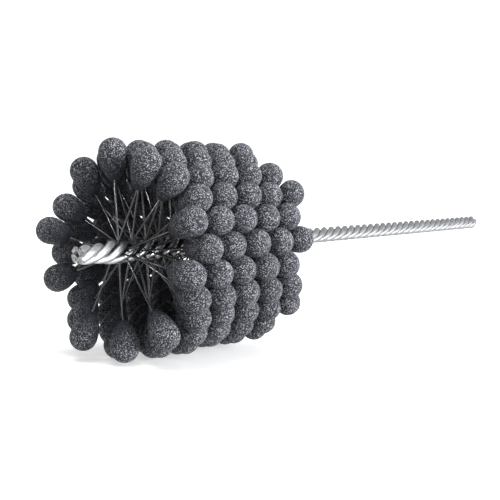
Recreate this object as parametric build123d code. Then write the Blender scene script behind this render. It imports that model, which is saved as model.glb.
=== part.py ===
"""Flexible ball hone: abrasive globules on nylon filaments, held in a stem of four twisted wires.

The stem runs along X, from the cut shank end at X = 0 to the working tip. Z is up.
The wires are twisted left-handed. They lie against each other in the bare shank and tip, and
are spread where the filaments pass between them. Every filament runs right through the stem
and carries a globule on each end. Neighbouring filaments cross at a right angle, so that the
globules follow four spiral arms round the head. All sizes are in millimetres.
"""
from build123d import *
import math
import os

# Driving dimensions of the stem
overall_length = 343.0
wire_count = 4
wire_diameter = 3.0
wire_clearance = 0.06
bare_lead = 26.4
loaded_lead = 31.4
flare_length = 7.5
end_bevel = 0.6

# Driving dimensions of the head
tip_length = 19.8
filament_count = 60
filaments_per_turn = 23.99
filament_diameter = 0.8
pinch_clearance = 0.1
first_filament_angle = 63.9
head_diameter = 89.6

# Driving dimensions of one globule
globule_diameter = 11.6
globule_length = 17.0
tail_diameter = 3.8
tail_rounding = 0.8
socket_depth = 10.0
socket_clearance = 0.12
socket_end_clearance = 0.25

# The filaments lean along the stem in one slow wave that runs down the head
wave_height = 0.6
wave_length = 160.0

# How far hand-moulded globules stray from their even places
axial_stray = 0.2
sideways_stray = 0.3
radial_stray = 0.6
size_stray = 0.01

# How the pieces are shared between the files
filaments_per_node = 4
filaments_per_globule_node = 2

# Positions along the stem, worked out from the sizes above
filament_spacing = loaded_lead / filaments_per_turn
first_filament_x = overall_length - tip_length
last_filament_x = first_filament_x - (filament_count - 1) * filament_spacing
globule_centre_radius = (head_diameter - globule_diameter) / 2
half_gap_angle = 180.0 / wire_count
stations_per_turn = 12
golden_ratio = (1 + math.sqrt(5)) / 2


def least_value(function, low, high):
    """Returns the smallest value of a function that has one dip between low and high."""
    for _ in range(60):
        third = (high - low) / 3
        if function(low + third) < function(high - third):
            high -= third
        else:
            low += third
    return function(low)


def solve_radius(distance_at, wanted):
    """Returns the wire circle's radius at which a distance that grows with it is as wanted."""
    low = wanted / 2
    high = 2 * wanted
    for _ in range(50):
        middle = (low + high) / 2
        if distance_at(middle) < wanted:
            low = middle
        else:
            high = middle
    return high


def wire_to_wire(radius):
    """Returns the distance between the centre lines of two neighbouring wires of the bare stem."""
    step = math.radians(2 * half_gap_angle)
    rise = bare_lead / (2 * math.pi)

    def distance(turn):
        return math.sqrt(2 * radius**2 * (1 - math.cos(turn)) + (rise * (turn - step)) ** 2)

    return least_value(distance, 0.0, step)


def wire_to_filament(radius):
    """Returns the distance from a filament's centre line to a wire's, in the loaded stem."""
    twist_rate = 2 * math.pi / loaded_lead

    def distance(along):
        aside = radius * math.sin(math.radians(half_gap_angle) - twist_rate * along)
        return math.hypot(along, aside)

    return least_value(distance, 0.0, wire_diameter)


bare_radius = solve_radius(wire_to_wire, wire_diameter + wire_clearance)
loaded_radius = solve_radius(
    wire_to_filament, (wire_diameter + filament_diameter) / 2 + pinch_clearance
)

# The wires open over the flare length and are fully open a wire's diameter before a filament
shank_flare_x = last_filament_x - wire_diameter - flare_length
tip_flare_x = first_filament_x + wire_diameter


def ramp(t):
    """Rises smoothly from 0 to 1 while t goes from 0 to 1."""
    t = min(max(t, 0.0), 1.0)
    return t * t * (3 - 2 * t)


def ramp_area(t):
    """Returns the area under the ramp up to t."""
    if t <= 0:
        return 0.0
    if t >= 1:
        return t - 0.5
    return t**3 - t**4 / 2


def spread(x):
    """Returns how far the wires are open at x, from 0 in the bare stem to 1 between filaments."""
    return ramp((x - shank_flare_x) / flare_length) - ramp((x - tip_flare_x) / flare_length)


def turns_to(x):
    """Returns the twist of the stem between the shank end and x, in turns."""
    open_length = flare_length * (
        ramp_area((x - shank_flare_x) / flare_length) - ramp_area((x - tip_flare_x) / flare_length)
    )
    return x / bare_lead + open_length * (1 / loaded_lead - 1 / bare_lead)


def gap_angle(x):
    """Returns the direction at x of the gap between the wires that the first filament uses."""
    return first_filament_angle + 360 * (turns_to(first_filament_x) - turns_to(x))


def wire_centre(number, x):
    """Returns the point where the centre line of a wire crosses the plane at x."""
    radius = bare_radius + (loaded_radius - bare_radius) * spread(x)
    angle = math.radians(gap_angle(x) + half_gap_angle * (2 * number - 1))
    return (x, radius * math.cos(angle), radius * math.sin(angle))


def make_stem_envelope():
    """Makes the round bar that the wires' square-cut and bevelled ends lie in."""
    closed = bare_radius + wire_diameter / 2
    opened = loaded_radius + wire_diameter
    outline = Polyline(
        (0, 0),
        (0, closed - end_bevel),
        (opened - closed + end_bevel, opened),
        (overall_length - (opened - closed + end_bevel), opened),
        (overall_length, closed - end_bevel),
        (overall_length, 0),
        close=True,
    )
    return revolve(make_face(outline), axis=Axis.X)


def make_wire(number, envelope):
    """Sweeps one round wire along its helix, a little too long, and cuts its ends."""
    step = bare_lead / stations_per_turn
    excess = 2 * step
    count = math.ceil((overall_length + 2 * excess) / step)
    path = Spline(*[wire_centre(number, i * step - excess) for i in range(count + 1)])
    section = Plane(origin=path @ 0, z_dir=path % 0) * Circle(wire_diameter / 2)
    return sweep(section, path=path) & envelope


def stray(number, channel):
    """Returns a share from -1 to 1 that differs from piece to piece and never changes."""
    return 2 * ((number * golden_ratio + channel * math.sqrt(2)) % 1) - 1


def filament_axis(number):
    """Returns the plane at a filament's middle whose Z direction runs along the filament."""
    behind_first = number * filament_spacing
    x = first_filament_x - behind_first
    angle = math.radians(gap_angle(x) + (number % 2) * 2 * half_gap_angle)
    wave = wave_height * math.cos(angle + 2 * math.pi * behind_first / wave_length)
    lean = (wave + axial_stray * stray(number, 7)) / globule_centre_radius
    angle += sideways_stray * stray(number, 5) / globule_centre_radius
    return Plane(origin=(x, 0, 0), z_dir=(-lean, math.cos(angle), math.sin(angle)))


def globule_place(number, side):
    """Returns the plane at a globule's centre, with Z pointing out along its filament."""
    place = filament_axis(number)
    outward = place.z_dir * side
    out = globule_centre_radius + radial_stray * stray(number, 3 + side)
    return Plane(origin=place.origin + outward * out, z_dir=outward)


def globule_size(number, side):
    """Returns the share by which one globule is larger than the usual one."""
    return 1 + size_stray * stray(number, 6 + side)


def socket_bottom(size):
    """Returns how far the bottom of a globule's socket lies from its centre, outwards positive."""
    return size * (globule_diameter / 2 - globule_length) + socket_depth


def make_filament(number):
    """Makes one nylon filament, from the bottom of one globule's socket to the other's."""
    ends = []
    for side in (-1, 1):
        bottom = socket_bottom(globule_size(number, side)) - socket_end_clearance
        centre = globule_place(number, side)
        ends.append((centre.origin - filament_axis(number).origin).length + bottom)
    middle = filament_axis(number).offset((ends[1] - ends[0]) / 2)
    return middle * Cylinder(filament_diameter / 2, ends[0] + ends[1])


def make_globule(size):
    """Turns one pear-shaped globule about Z: a half ball outwards, and inwards a long bulging taper.

    Its centre is that of the half ball. The taper's arc leaves the half ball without a corner.
    """
    ball = size * globule_diameter / 2
    tail = tail_diameter / 2
    tail_z = ball - size * globule_length
    with BuildPart() as globule:
        with BuildSketch(Plane.XZ):
            with BuildLine():
                CenterArc((0, 0), ball, 0, 90)
                TangentArc((ball, 0), (tail, tail_z), tangent=(0, -1))
                Polyline((tail, tail_z), (0, tail_z), (0, ball))
            make_face()
        revolve(axis=Axis.Z)
        fillet(globule.edges().sort_by(Axis.Z)[0], tail_rounding)
        with Locations((0, 0, tail_z)):
            Cylinder(
                filament_diameter / 2 + socket_clearance,
                socket_depth,
                align=(Align.CENTER, Align.CENTER, Align.MIN),
                mode=Mode.SUBTRACT,
            )
    return globule.part


def write_node(name, solids):
    """Writes one node's solids to its file."""
    export_step(Compound(label=name, children=solids), os.path.join("parts", name + ".step"))


os.makedirs("parts", exist_ok=True)

# Stem of twisted wires
stem_envelope = make_stem_envelope()
for wire_number in range(1, wire_count + 1):
    wire = make_wire(wire_number, stem_envelope)
    write_node(f"stem_wire_{wire_number}", wire.solids())

# Filaments, in the order in which they stand along the stem, from the tip
for first in range(0, filament_count, filaments_per_node):
    numbers = range(first, min(first + filaments_per_node, filament_count))
    filaments = [make_filament(number).solid() for number in numbers]
    write_node(f"filaments_{first // filaments_per_node + 1:02d}", filaments)

# Globules, a crossed pair of filaments at a time
for first in range(0, filament_count, filaments_per_globule_node):
    numbers = range(first, min(first + filaments_per_globule_node, filament_count))
    globules = []
    for number in numbers:
        for side in (-1, 1):
            globule = make_globule(globule_size(number, side))
            globules.append((globule_place(number, side) * globule).solid())
    write_node(f"globules_{first // filaments_per_globule_node + 1:02d}", globules)
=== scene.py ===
"""Looks of the flexible ball hone: gritty globules, nylon filaments and a stem of twisted wires.

Everything is in metres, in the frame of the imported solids: the stem lies along X, the tip is at the
high end of X and Z is up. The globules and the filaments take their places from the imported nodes.
"""
import math

import bmesh
import bpy
import numpy as np
from mathutils import Matrix, Vector


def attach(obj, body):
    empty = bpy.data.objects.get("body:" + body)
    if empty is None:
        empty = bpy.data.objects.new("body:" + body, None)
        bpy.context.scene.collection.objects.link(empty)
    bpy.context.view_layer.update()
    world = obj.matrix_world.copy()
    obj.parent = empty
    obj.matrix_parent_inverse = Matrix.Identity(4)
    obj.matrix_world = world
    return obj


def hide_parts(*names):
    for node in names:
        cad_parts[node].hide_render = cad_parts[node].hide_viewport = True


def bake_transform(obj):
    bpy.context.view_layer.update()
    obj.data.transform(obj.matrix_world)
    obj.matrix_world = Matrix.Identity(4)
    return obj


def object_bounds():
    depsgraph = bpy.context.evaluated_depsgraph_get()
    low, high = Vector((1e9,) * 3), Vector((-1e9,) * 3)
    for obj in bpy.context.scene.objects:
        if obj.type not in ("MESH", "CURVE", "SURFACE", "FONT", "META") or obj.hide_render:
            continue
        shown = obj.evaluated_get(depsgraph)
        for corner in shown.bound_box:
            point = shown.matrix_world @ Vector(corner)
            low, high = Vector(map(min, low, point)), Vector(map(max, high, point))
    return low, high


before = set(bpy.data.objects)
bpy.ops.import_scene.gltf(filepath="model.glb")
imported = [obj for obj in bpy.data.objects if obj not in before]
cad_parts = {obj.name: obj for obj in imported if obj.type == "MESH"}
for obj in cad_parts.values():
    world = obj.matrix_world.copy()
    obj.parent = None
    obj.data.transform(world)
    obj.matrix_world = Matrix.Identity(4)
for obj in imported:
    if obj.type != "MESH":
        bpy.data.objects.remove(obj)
cad_low, cad_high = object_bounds()

# Grains of the globules' meshes: how far apart and how deep they are, in metres. Each point has
# lattice_share of the pitch squared to itself. The bias makes most grains shallow, and the lift is
# their mean depth, given back so that the globule keeps its size
grit_pitch = 0.00040
grit_depth = 0.00007
lattice_share = 0.87
grit_bias = 1.5
grit_lift = 0.4

# Slow lumps of hand moulding: their depth in metres, the share of it that they sink into the
# globule, how many waves make them, and how fast those vary, in radians per metre
lump_depth = 0.00014
lump_sink = 0.3
lump_waves = 5
lump_rate = 260

# Grains of the globules' material: their size and relief, in metres
grain_pitch = 0.00029
grain_relief = 0.00012

# A globule's outline: its narrow end in metres, and its steps. On the taper the grains stand out
# sideways, leaning back by no more than the slope
tail_radius = 0.0019
taper_steps = 80
ball_steps = 60
tail_slope = 0.35

# Painted shade inside the head, dark on the globules' tapers: the distances from the stem's axis within
# which it is whole and beyond which it is gone, in metres
shade_full_within = 0.026
shade_gone_beyond = 0.041

# Filaments: tubes in two halves, which bow between the stem and the length that is held at their
# ends. One piece has all the halves of one direction in bunch_count. Lengths are in metres
filament_sides = 8
filament_steps = 14
filament_bow = 0.0006
least_bow_share = 0.2
held_length = 0.008
bunch_count = 16
bend_margin = 0.98

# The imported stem, in metres, and places along it as shares of its length from the shank end
stem_radius = 0.0047
stem_length = 0.343
bare_lead = 0.0264
shank_end = 0.685
open_from = 0.72
# Between the next two places the painted shade on the open stem's wires fades out towards the tip
shade_full_until = 0.86
shade_gone_from = 0.885
open_until = 0.930
tip_from = 0.948

# The photograph's frame and what was measured in it, in pixels
image_side = 500
focal_pixels = 1035.0
tip_pixel = (77.2, 255.3)

# The camera, from the fit to the photograph
camera_yaw = math.radians(37.25)
camera_pitch = math.radians(4.18)
tip_depth = 0.3918
sensor_width = 36.0

# Half the floor's side, in metres
floor_reach = 8.0

# Corners that agree to this many decimals of a metre are one
weld_decimals = 7

golden_angle = math.pi * (3 - math.sqrt(5))
globule_seed = 7
filament_seed = 11


def new_material(name):
    """Makes a node material and returns it with its shader and its node tree."""
    material = bpy.data.materials.new(name)
    material.use_nodes = True
    tree = material.node_tree
    return material, tree.nodes["Principled BSDF"], tree


def add_node(tree, kind, **settings):
    """Adds a node, sets its properties, and then its unlinked inputs given as {name: value}."""
    node = tree.nodes.new(kind)
    inputs = settings.pop("inputs", {})
    for key, value in settings.items():
        setattr(node, key, value)
    for key, value in inputs.items():
        node.inputs[key].default_value = value
    return node


def add_ramp(tree, stops):
    """Adds a colour ramp with the stops given as (position, grey or colour)."""
    ramp = add_node(tree, "ShaderNodeValToRGB")
    elements = ramp.color_ramp.elements
    while len(elements) < len(stops):
        elements.new(1.0)
    for element, (position, value) in zip(elements, stops):
        element.position = position
        if isinstance(value, float):
            value = (value, value, value)
        element.color = (*value, 1.0)
    return ramp


def add_range(tree, low, high, to_low=0.0, to_high=1.0, smooth=False):
    """Adds a node that turns the values from low to high into those from to_low to to_high."""
    limits = {"From Min": low, "From Max": high, "To Min": to_low, "To Max": to_high}
    kind = "SMOOTHSTEP" if smooth else "LINEAR"
    return add_node(tree, "ShaderNodeMapRange", interpolation_type=kind, inputs=limits)


def multiplied(tree, first, second):
    """Returns the product of two colours."""
    product = add_node(tree, "ShaderNodeMix", data_type="RGBA", blend_type="MULTIPLY")
    product.inputs["Factor"].default_value = 1.0
    tree.links.new(first, product.inputs["A"])
    tree.links.new(second, product.inputs["B"])
    return product.outputs["Result"]


def mesh_object(name, points, faces, material):
    """Makes a mesh object from an array of points and a list of faces."""
    mesh = bpy.data.meshes.new(name)
    mesh.from_pydata(points.tolist(), [], faces)
    mesh.materials.append(material)
    mesh.update()
    piece = bpy.data.objects.new(name, mesh)
    bpy.context.scene.collection.objects.link(piece)
    return piece


def node_names(start):
    """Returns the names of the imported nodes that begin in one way, in order."""
    return sorted(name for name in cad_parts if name.startswith(start))


def loose_parts(mesh):
    """Returns the corners of each separate solid of a mesh, as one array each."""
    corners = np.empty(len(mesh.vertices) * 3)
    mesh.vertices.foreach_get("co", corners)
    corners = corners.reshape(-1, 3)
    edges = np.empty(len(mesh.edges) * 2, dtype=int)
    mesh.edges.foreach_get("vertices", edges)
    # Corners at one place are one, also where the mesh splits them for its normals
    places, owner = np.unique(np.round(corners, weld_decimals), axis=0, return_inverse=True)
    owner = owner.ravel()
    first, second = owner[edges.reshape(-1, 2)].T
    # Every place takes the lowest label that it can reach along the edges
    label = np.arange(len(places))
    while True:
        least = np.minimum(label[first], label[second])
        update = label.copy()
        np.minimum.at(update, first, least)
        np.minimum.at(update, second, least)
        update = update[update]
        if (update == label).all():
            break
        label = update
    part_of = label[owner]
    return [corners[part_of == part] for part in np.unique(part_of)]


def round_solid(corners):
    """Returns a turned solid's middle, its axis out of the stem, its two ends along it and its radius."""
    places = np.unique(np.round(corners, weld_decimals), axis=0)
    middle = places.mean(axis=0)
    values, vectors = np.linalg.eigh(np.cov((places - middle).T))
    axis = vectors[:, -1]
    outward = middle * (0, 1, 1)
    if axis @ outward < 0:
        axis = -axis
    along = (places - middle) @ axis
    radius = np.linalg.norm(places - middle - along[:, None] * axis, axis=1).max()
    return middle, axis, along.min(), along.max(), radius


class Pear:
    """The even net of points over a pear, shared by all the globules."""

    def __init__(self, length, ball):
        self.outline = self.make_outline(length - ball, ball)
        self.points = self.spread_points()
        self.normals = self.outward()
        self.faces = self.cover()

    def make_outline(self, reach, ball):
        """Returns (z, r) along the outline, from the tail's middle to the far pole."""
        narrowing = ball - tail_radius
        bulge = (narrowing**2 + reach**2) / (2 * narrowing)
        z = np.linspace(-reach, 0, taper_steps, endpoint=False)
        taper = np.stack([z, ball - bulge + np.sqrt(bulge**2 - z**2)], axis=1)
        turn = np.linspace(0, math.pi / 2, ball_steps)
        half_ball = np.stack([ball * np.sin(turn), ball * np.cos(turn)], axis=1)
        return np.concatenate([[(-reach, 0.0)], taper, half_ball])

    def spread_points(self):
        """Puts points on a golden spiral so that each has the same share of the surface."""
        steps = np.diff(self.outline, axis=0)
        lengths = np.hypot(*steps.T)
        areas = math.pi * (self.outline[1:, 1] + self.outline[:-1, 1]) * lengths
        total = np.concatenate([[0.0], np.cumsum(areas)])
        count = int(total[-1] / (grit_pitch**2 * lattice_share))
        share = (np.arange(count) + 0.5) / count * total[-1]
        z = np.interp(share, total, self.outline[:, 0])
        r = np.interp(share, total, self.outline[:, 1])
        turn = np.arange(count) * golden_angle
        return np.stack([r * np.cos(turn), r * np.sin(turn), z], axis=1)

    def outward(self):
        """Returns the direction out of the pear at each point, which leans back a little on the taper."""
        away = self.points.copy()
        away[:, 2] = np.maximum(away[:, 2], -tail_slope * np.hypot(away[:, 0], away[:, 1]))
        return away / np.linalg.norm(away, axis=1)[:, None]

    def cover(self):
        """Joins the points into faces. The pear is convex, so its hull does that."""
        net = bmesh.new()
        for point in self.points:
            net.verts.new(point)
        net.verts.ensure_lookup_table()
        net.verts.index_update()
        bmesh.ops.convex_hull(net, input=net.verts, use_existing_faces=False)
        faces = np.array([[v.index for v in face.verts] for face in net.faces if len(face.verts) == 3])
        net.free()
        return faces


def gritty(pear, random):
    """Returns the pear's points, moved by the grains and by the slow lumps of hand moulding."""
    points = pear.points
    lumps = np.zeros(len(points))
    for _ in range(lump_waves):
        wave = random.normal(size=3) * lump_rate
        lumps += np.sin(points @ wave + random.uniform(0, 2 * math.pi))
    lumps *= lump_depth / lump_waves
    grains = -grit_depth * random.uniform(0, 1, len(points)) ** grit_bias
    out = lumps - lump_depth * lump_sink + grains + grit_depth * grit_lift
    return points + out[:, None] * pear.normals


def turned_to(axis, turn):
    """Returns the matrix that takes Z to the axis, after a turn about Z."""
    rotation = Vector(axis).to_track_quat("Z", "X").to_matrix() @ Matrix.Rotation(turn, 3, "Z")
    return np.array(rotation)


def make_globules(material):
    """Replaces each node of globules by gritty ones at the same places."""
    random = np.random.default_rng(globule_seed)
    pear = None
    for name in node_names("globules"):
        points, faces, offset = [], [], 0
        for corners in loose_parts(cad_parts[name].data):
            middle, axis, low, high, radius = round_solid(corners)
            if pear is None:
                pear = Pear(high - low, radius)
            scale = (high - low) / (pear.points[:, 2].max() - pear.points[:, 2].min())
            local = gritty(pear, random) * scale
            turn = random.uniform(0, 2 * math.pi)
            centre = middle + axis * (high - radius)
            points.append(local @ turned_to(axis, turn).T + centre)
            faces += (pear.faces + offset).tolist()
            offset += len(local)
        piece = mesh_object("gritty_" + name, np.concatenate(points), faces, material)
        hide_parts(name)
        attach(piece, "globules")


def filament_halves():
    """Returns (node, root, end, radius) of each half of a filament, in bunches that share a direction."""
    bunches = {}
    for name in node_names("filaments"):
        for corners in loose_parts(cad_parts[name].data):
            middle, axis, low, high, radius = round_solid(corners)
            # The root is the filament's nearest point to the stem's axis
            root = middle - axis * ((middle * (0, 1, 1)) @ axis) / (1 - axis[0] ** 2)
            for reach in (low, high):
                end = middle + axis * reach
                direction = math.atan2(end[2], end[1])
                bunch = int(direction / (2 * math.pi) * bunch_count + bunch_count) % bunch_count
                bunches.setdefault(bunch, []).append((name, root, end, radius))
    return bunches


def make_filaments(material):
    """Replaces the straight filaments by bowed halves, a bunch of them at a time."""
    random = np.random.default_rng(filament_seed)
    for bunch, halves in sorted(filament_halves().items()):
        points, faces, offset = [], [], 0
        for name, root, end, radius in halves:
            tube_points, tube_faces = bowed_tube(root, end, radius, random)
            points.append(tube_points)
            faces += [[corner + offset for corner in face] for face in tube_faces]
            offset += len(tube_points)
        piece = mesh_object(f"nylon_filaments_{bunch + 1:02d}", np.concatenate(points), faces, material)
        piece.data.polygons.foreach_set("use_smooth", [len(face) == 4 for face in faces])
        piece.data.update()
        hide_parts(*sorted({half[0] for half in halves}))
        middle_direction = (bunch + 0.5) / bunch_count * 2 * math.pi
        ray = Vector((0, math.cos(middle_direction), math.sin(middle_direction)))
        ray * bend_end()
        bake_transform(piece)


def bend_end():
    """Returns a distance from the stem's axis just before the filaments' globules."""
    corners = loose_parts(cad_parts["globules_01"].data)[0]
    middle, axis, low, high, radius = round_solid(corners)
    return float(np.linalg.norm((middle + axis * low)[1:])) * bend_margin


def bowed_tube(root, end, radius, random):
    """Returns the points and faces of one half of a filament, which bows a little to one side."""
    along = end - root
    length = np.linalg.norm(along)
    along = along / length
    aside = np.cross(along, random.normal(size=3))
    aside /= np.linalg.norm(aside)
    other = np.cross(along, aside)
    bow = filament_bow * random.uniform(least_bow_share, 1.0)
    points, faces = [], []
    for step in range(filament_steps + 1):
        share = step / filament_steps
        free = min(max((share * length - stem_radius) / (length - stem_radius - held_length), 0.0), 1.0)
        centre = root + along * share * length + aside * bow * math.sin(math.pi * free)
        for side in range(filament_sides):
            angle = 2 * math.pi * side / filament_sides
            points.append(centre + radius * (math.cos(angle) * aside + math.sin(angle) * other))
    for step in range(filament_steps):
        for side in range(filament_sides):
            after = (side + 1) % filament_sides
            low, high = step * filament_sides, (step + 1) * filament_sides
            faces.append([low + side, low + after, high + after, high + side])
    faces.append(list(range(filament_sides))[::-1])
    faces.append([filament_steps * filament_sides + side for side in range(filament_sides)])
    return np.array(points), faces


def grit_material():
    """Silicon carbide grit in a dark binder: each grain is a facet, and some catch the light."""
    material, shader, tree = new_material("silicon_carbide_grit")
    link = tree.links.new
    place = add_node(tree, "ShaderNodeTexCoord")
    grains = add_node(tree, "ShaderNodeTexVoronoi", inputs={"Scale": 1 / grain_pitch, "Randomness": 1.0})
    single = add_node(tree, "ShaderNodeSeparateColor")
    rough = add_range(tree, 0.0, 1.0, 0.34, 0.8)
    link(place.outputs["Object"], grains.inputs["Vector"])
    link(grains.outputs["Color"], single.inputs["Color"])
    link(single.outputs["Green"], rough.inputs["Value"])
    link(rough.outputs["Result"], shader.inputs["Roughness"])
    colour = grain_colour(tree, grains, single)
    # The tails near the stem's axis are painted dark, as painted shade of the head's inside
    link(in_painted_shade(tree, place, colour), shader.inputs["Base Color"])
    link(grain_facets(tree, grains), shader.inputs["Normal"])
    shader.inputs["Specular IOR Level"].default_value = 0.12
    return material


def grain_colour(tree, grains, single):
    """Returns the grains' colour: two in three are dark, one in five is bright, on darker binder."""
    grey = add_ramp(tree, [
        (0.0, (0.024, 0.0255, 0.0325)),
        (0.64, (0.050, 0.0525, 0.066)),
        (0.80, (0.195, 0.201, 0.227)),
        (0.90, (0.62, 0.632, 0.67)),
    ])
    binder = add_ramp(tree, [(0.34, 1.0), (0.60, 0.55)])
    tree.links.new(single.outputs["Red"], grey.inputs["Fac"])
    tree.links.new(grains.outputs["Distance"], binder.inputs["Fac"])
    return multiplied(tree, grey.outputs["Color"], binder.outputs["Color"])


def in_painted_shade(tree, place, colour):
    """Returns the grains' colour with painted shade: the tails, near the stem's axis, are painted dark as
    the shade inside the head.
    """
    across = add_node(tree, "ShaderNodeVectorMath", operation="MULTIPLY", inputs={1: (0, 1, 1)})
    reach = add_node(tree, "ShaderNodeVectorMath", operation="LENGTH")
    unshaded = add_range(tree, shade_full_within, shade_gone_beyond, smooth=True)
    # The dark colour of the painted shade inside the head
    cover = add_node(tree, "ShaderNodeMix", data_type="RGBA", inputs={"A": (0.015, 0.0165, 0.023, 1.0)})
    tree.links.new(place.outputs["Object"], across.inputs[0])
    tree.links.new(across.outputs["Vector"], reach.inputs[0])
    tree.links.new(reach.outputs["Value"], unshaded.inputs["Value"])
    tree.links.new(unshaded.outputs["Result"], cover.inputs["Factor"])
    tree.links.new(colour, cover.inputs["B"])
    return cover.outputs["Result"]


def grain_facets(tree, grains):
    """Returns the normal of the grains: every grain's facet leans its own way."""
    surface = add_node(tree, "ShaderNodeNewGeometry")
    centred = add_node(tree, "ShaderNodeVectorMath", operation="SUBTRACT", inputs={1: (0.5, 0.5, 0.5)})
    leaned = add_node(tree, "ShaderNodeVectorMath", operation="ADD")
    facet = add_node(tree, "ShaderNodeVectorMath", operation="NORMALIZE")
    relief = {"Strength": 0.6, "Distance": grain_relief}
    bump = add_node(tree, "ShaderNodeBump", invert=True, inputs=relief)
    tree.links.new(grains.outputs["Color"], centred.inputs[0])
    tree.links.new(centred.outputs["Vector"], leaned.inputs[0])
    tree.links.new(surface.outputs["Normal"], leaned.inputs[1])
    tree.links.new(leaned.outputs["Vector"], facet.inputs[0])
    tree.links.new(facet.outputs["Vector"], bump.inputs["Normal"])
    tree.links.new(grains.outputs["Distance"], bump.inputs["Height"])
    return bump.outputs["Normal"]


def nylon_material():
    """Dark glossy nylon, a little uneven along its length."""
    material, shader, tree = new_material("dark_nylon")
    place = add_node(tree, "ShaderNodeTexCoord")
    haze = add_node(tree, "ShaderNodeTexNoise", inputs={"Scale": 110.0, "Detail": 2.0})
    grey = add_ramp(tree, [(0.35, (0.006, 0.006, 0.008)), (0.75, (0.018, 0.018, 0.021))])
    rough = add_range(tree, 0.4, 0.62, 0.05, 0.24)
    tree.links.new(place.outputs["Object"], haze.inputs["Vector"])
    tree.links.new(haze.outputs["Fac"], grey.inputs["Fac"])
    tree.links.new(haze.outputs["Fac"], rough.inputs["Value"])
    tree.links.new(grey.outputs["Color"], shader.inputs["Base Color"])
    tree.links.new(rough.outputs["Result"], shader.inputs["Roughness"])
    shader.inputs["Specular IOR Level"].default_value = 0.65
    return material


def wire_material():
    """Galvanised drawn steel: bright at the tip, partly as painted light, painted dark as shade between
    the filaments deep in the head, dull on the shank.
    """
    material, shader, tree = new_material("galvanised_wire")
    link = tree.links.new
    place = add_node(tree, "ShaderNodeTexCoord")
    split = add_node(tree, "ShaderNodeSeparateXYZ")
    along = add_node(tree, "ShaderNodeMath", operation="DIVIDE", inputs={1: stem_length})
    spots = add_node(tree, "ShaderNodeTexNoise", inputs={"Scale": 420.0, "Detail": 3.0})
    grey = add_ramp(tree, [(0.3, (0.50, 0.51, 0.525)), (0.7, (0.72, 0.73, 0.745))])
    rough = add_range(tree, 0.0, 1.0, 0.4, 0.65)
    link(place.outputs["Object"], split.inputs["Vector"])
    link(place.outputs["Object"], spots.inputs["Vector"])
    link(split.outputs["X"], along.inputs[0])
    link(spots.outputs["Fac"], grey.inputs["Fac"])
    link(spots.outputs["Fac"], rough.inputs["Value"])
    # Handling has dulled the shank, and the tip is painted lighter as if lit more. Where the stem is open
    # its wires are smoother; deep in the head they are painted dark as shade, which fades out towards the
    # tip
    patina_and_painted_shade = add_ramp(tree, [
        (shank_end, 0.41),
        (open_from, 0.2),
        (shade_full_until, 0.2),
        (shade_gone_from, 0.5),
        (open_until, 0.5),
        (tip_from, 0.85),
    ])
    polish = add_ramp(tree, [(shank_end, 1.0), (open_from, 0.45), (open_until, 0.45), (tip_from, 1.0)])
    smooth = add_node(tree, "ShaderNodeMath", operation="MULTIPLY")
    link(along.outputs["Value"], patina_and_painted_shade.inputs["Fac"])
    link(along.outputs["Value"], polish.inputs["Fac"])
    link(rough.outputs["Result"], smooth.inputs[0])
    link(polish.outputs["Color"], smooth.inputs[1])
    colour, roughness = with_cut_ends(tree, place, grey.outputs["Color"], smooth.outputs["Value"])
    link(multiplied(tree, colour, patina_and_painted_shade.outputs["Color"]), shader.inputs["Base Color"])
    link(roughness, shader.inputs["Roughness"])
    link(draw_lines(tree, place, split.outputs["X"]), shader.inputs["Normal"])
    shader.inputs["Metallic"].default_value = 1.0
    return material


def with_cut_ends(tree, place, colour, roughness):
    """Returns the wires' colour and roughness, dull and pitted on the cut and bevelled ends."""
    surface = add_node(tree, "ShaderNodeNewGeometry")
    facing = add_node(tree, "ShaderNodeSeparateXYZ")
    square = add_node(tree, "ShaderNodeMath", operation="ABSOLUTE")
    # Only the ends face along the stem
    cut = add_node(tree, "ShaderNodeMath", operation="GREATER_THAN", inputs={1: 0.6})
    pits = add_node(tree, "ShaderNodeTexNoise", inputs={"Scale": 1500.0, "Detail": 3.0})
    pitted = add_ramp(tree, [(0.38, (0.10, 0.096, 0.096)), (0.6, (0.46, 0.455, 0.46))])
    mixed = add_node(tree, "ShaderNodeMix", data_type="RGBA")
    dull = add_node(tree, "ShaderNodeMix", data_type="FLOAT", inputs={"B": 0.65})
    tree.links.new(surface.outputs["Normal"], facing.inputs["Vector"])
    tree.links.new(facing.outputs["X"], square.inputs[0])
    tree.links.new(square.outputs["Value"], cut.inputs[0])
    tree.links.new(place.outputs["Object"], pits.inputs["Vector"])
    tree.links.new(pits.outputs["Fac"], pitted.inputs["Fac"])
    tree.links.new(cut.outputs["Value"], mixed.inputs["Factor"])
    tree.links.new(colour, mixed.inputs["A"])
    tree.links.new(pitted.outputs["Color"], mixed.inputs["B"])
    tree.links.new(cut.outputs["Value"], dull.inputs["Factor"])
    tree.links.new(roughness, dull.inputs["A"])
    return mixed.outputs["Result"], dull.outputs["Result"]


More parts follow.
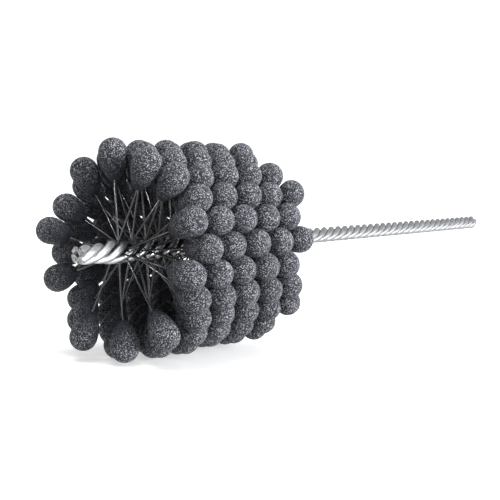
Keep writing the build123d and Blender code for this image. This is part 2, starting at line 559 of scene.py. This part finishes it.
def draw_lines(tree, place, x):
    """Returns the normal of the fine lines that drawing left on the wires, which follow the twist."""
    untwist = add_node(tree, "ShaderNodeMath", operation="MULTIPLY", inputs={1: 2 * math.pi / bare_lead})
    turned = add_node(tree, "ShaderNodeVectorRotate", rotation_type="X_AXIS")
    stretch = add_node(tree, "ShaderNodeMapping", inputs={"Scale": (60.0, 2600.0, 2600.0)})
    lines = add_node(tree, "ShaderNodeTexNoise", inputs={"Scale": 1.0, "Detail": 2.0})
    bump = add_node(tree, "ShaderNodeBump", inputs={"Strength": 0.25, "Distance": 0.00003})
    tree.links.new(x, untwist.inputs[0])
    tree.links.new(place.outputs["Object"], turned.inputs["Vector"])
    tree.links.new(untwist.outputs["Value"], turned.inputs["Angle"])
    tree.links.new(turned.outputs["Vector"], stretch.inputs["Vector"])
    tree.links.new(stretch.outputs["Vector"], lines.inputs["Vector"])
    tree.links.new(lines.outputs["Fac"], bump.inputs["Height"])
    return bump.outputs["Normal"]


def dress_wires(material):
    """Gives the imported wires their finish."""
    for name in node_names("stem_wire"):
        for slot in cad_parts[name].material_slots:
            slot.link = "OBJECT"
            slot.material = material


def camera_axes():
    """Returns the directions of the camera's right, up and back, in the part's frame."""
    tilt, turn = camera_pitch, camera_yaw
    # The stem's X, Y and Z as the camera sees them
    along = Vector((-math.sin(turn), -math.cos(turn) * math.sin(tilt), math.cos(turn) * math.cos(tilt)))
    up = Vector((0, math.cos(tilt), math.sin(tilt)))
    across = up.cross(along)
    seen = Matrix((along, across, up))
    return seen @ Vector((1, 0, 0)), seen @ Vector((0, 1, 0)), seen @ Vector((0, 0, 1))


def make_camera():
    """Makes the camera that the fit to the photograph gave."""
    right, up, back = camera_axes()
    half = image_side / 2
    tip = Vector((cad_high.x, 0, 0))
    x = tip_depth * (tip_pixel[0] - half) / focal_pixels
    y = tip_depth * (half - tip_pixel[1]) / focal_pixels
    data = bpy.data.cameras.new("camera")
    data.sensor_width = sensor_width
    data.lens = sensor_width * focal_pixels / image_side
    data.clip_start = 0.01
    camera = bpy.data.objects.new("camera", data)
    place = Matrix.Translation(tip - right * x - up * y + back * tip_depth)
    camera.matrix_world = place @ Matrix((right, up, back)).transposed().to_4x4()
    bpy.context.scene.collection.objects.link(camera)
    bpy.context.scene.camera = camera


def make_floor():
    """Makes the pale floor, which the lowest globules stand on."""
    sides = ((-1, -1), (1, -1), (1, 1), (-1, 1))
    corners = np.array([(x * floor_reach, y * floor_reach, cad_low.z) for x, y in sides])
    material, shader, tree = new_material("pale_floor")
    shader.inputs["Base Color"].default_value = (0.93, 0.935, 0.945, 1)
    shader.inputs["Roughness"].default_value = 0.6
    shader.inputs["Emission Color"].default_value = (1, 1, 1, 1)
    shader.inputs["Emission Strength"].default_value = 0.42
    floor = mesh_object("floor", corners, [[0, 1, 2, 3]], material)
    # The surround's lower half stands for the light that the floor throws back on the object
    floor.visible_diffuse = False


def soft_sun(name, direction, spread, strength):
    """Adds an even light from a direction. Its spread, in degrees, makes the shadows soft."""
    data = bpy.data.lights.new(name, "SUN")
    data.angle = math.radians(spread)
    data.energy = strength
    lamp = bpy.data.objects.new(name, data)
    lamp.rotation_mode = "QUATERNION"
    lamp.rotation_quaternion = direction.to_track_quat("Z", "Y")
    bpy.context.scene.collection.objects.link(lamp)


def make_lights():
    """Makes the soft studio light: a key and a fill from the right, a top light, and a strip.

    The strip stands where the filaments mirror it to the camera, and gives their thin highlights.
    """
    right, up, back = camera_axes()
    soft_sun("key", right * 0.93 + up * 0.05 + back * 0.55, spread=30, strength=5.2)
    soft_sun("fill", right * 0.7 + up * 0.1 + back * 0.7, spread=60, strength=1.8)
    soft_sun("top", up * 1.0 + back * 0.25 - right * 0.05, spread=30, strength=1.6)
    soft_sun("strip", back * 0.27 - right * 0.96, spread=5, strength=1.0)


def make_surround():
    """Makes the white surround: dimmer overhead, and dark on one side off the horizon."""
    right, up, back = camera_axes()
    world = bpy.data.worlds.new("surround")
    bpy.context.scene.world = world
    world.use_nodes = True
    tree = world.node_tree
    link = tree.links.new
    place = add_node(tree, "ShaderNodeTexCoord")
    split = add_node(tree, "ShaderNodeSeparateXYZ")
    height = add_range(tree, -1.0, 1.0)
    shade = add_ramp(tree, [(0.45, 0.5), (0.475, 1.0), (0.6, 1.0), (0.8, (0.68, 0.695, 0.72))])
    link(place.outputs["Generated"], split.inputs["Vector"])
    link(split.outputs["Z"], height.inputs["Value"])
    link(height.outputs["Result"], shade.inputs["Fac"])
    # One side is dark above and below the horizon, which is white all round
    dark_side = (back * 0.45 - right).normalized()
    side = add_node(tree, "ShaderNodeVectorMath", operation="DOT_PRODUCT", inputs={1: tuple(dark_side)})
    dim = add_range(tree, -0.1, 0.6, 1.0, 0.08, smooth=True)
    off_horizon = add_ramp(tree, [(0.45, 1.0), (0.475, 0.0), (0.52, 0.0), (0.58, 1.0)])
    level = add_node(tree, "ShaderNodeMix", data_type="FLOAT", inputs={"A": 1.0})
    dimmed = add_node(tree, "ShaderNodeVectorMath", operation="SCALE")
    background = tree.nodes["Background"]
    background.inputs["Strength"].default_value = 1.2
    link(height.outputs["Result"], off_horizon.inputs["Fac"])
    link(place.outputs["Generated"], side.inputs[0])
    link(side.outputs["Value"], dim.inputs["Value"])
    link(off_horizon.outputs["Color"], level.inputs["Factor"])
    link(dim.outputs["Result"], level.inputs["B"])
    link(shade.outputs["Color"], dimmed.inputs[0])
    link(level.outputs["Result"], dimmed.inputs["Scale"])
    link(dimmed.outputs["Vector"], background.inputs["Color"])


dress_wires(wire_material())
make_globules(grit_material())
make_filaments(nylon_material())
make_floor()
make_camera()
make_lights()
make_surround()
bpy.context.scene.view_settings.view_transform = "Standard"
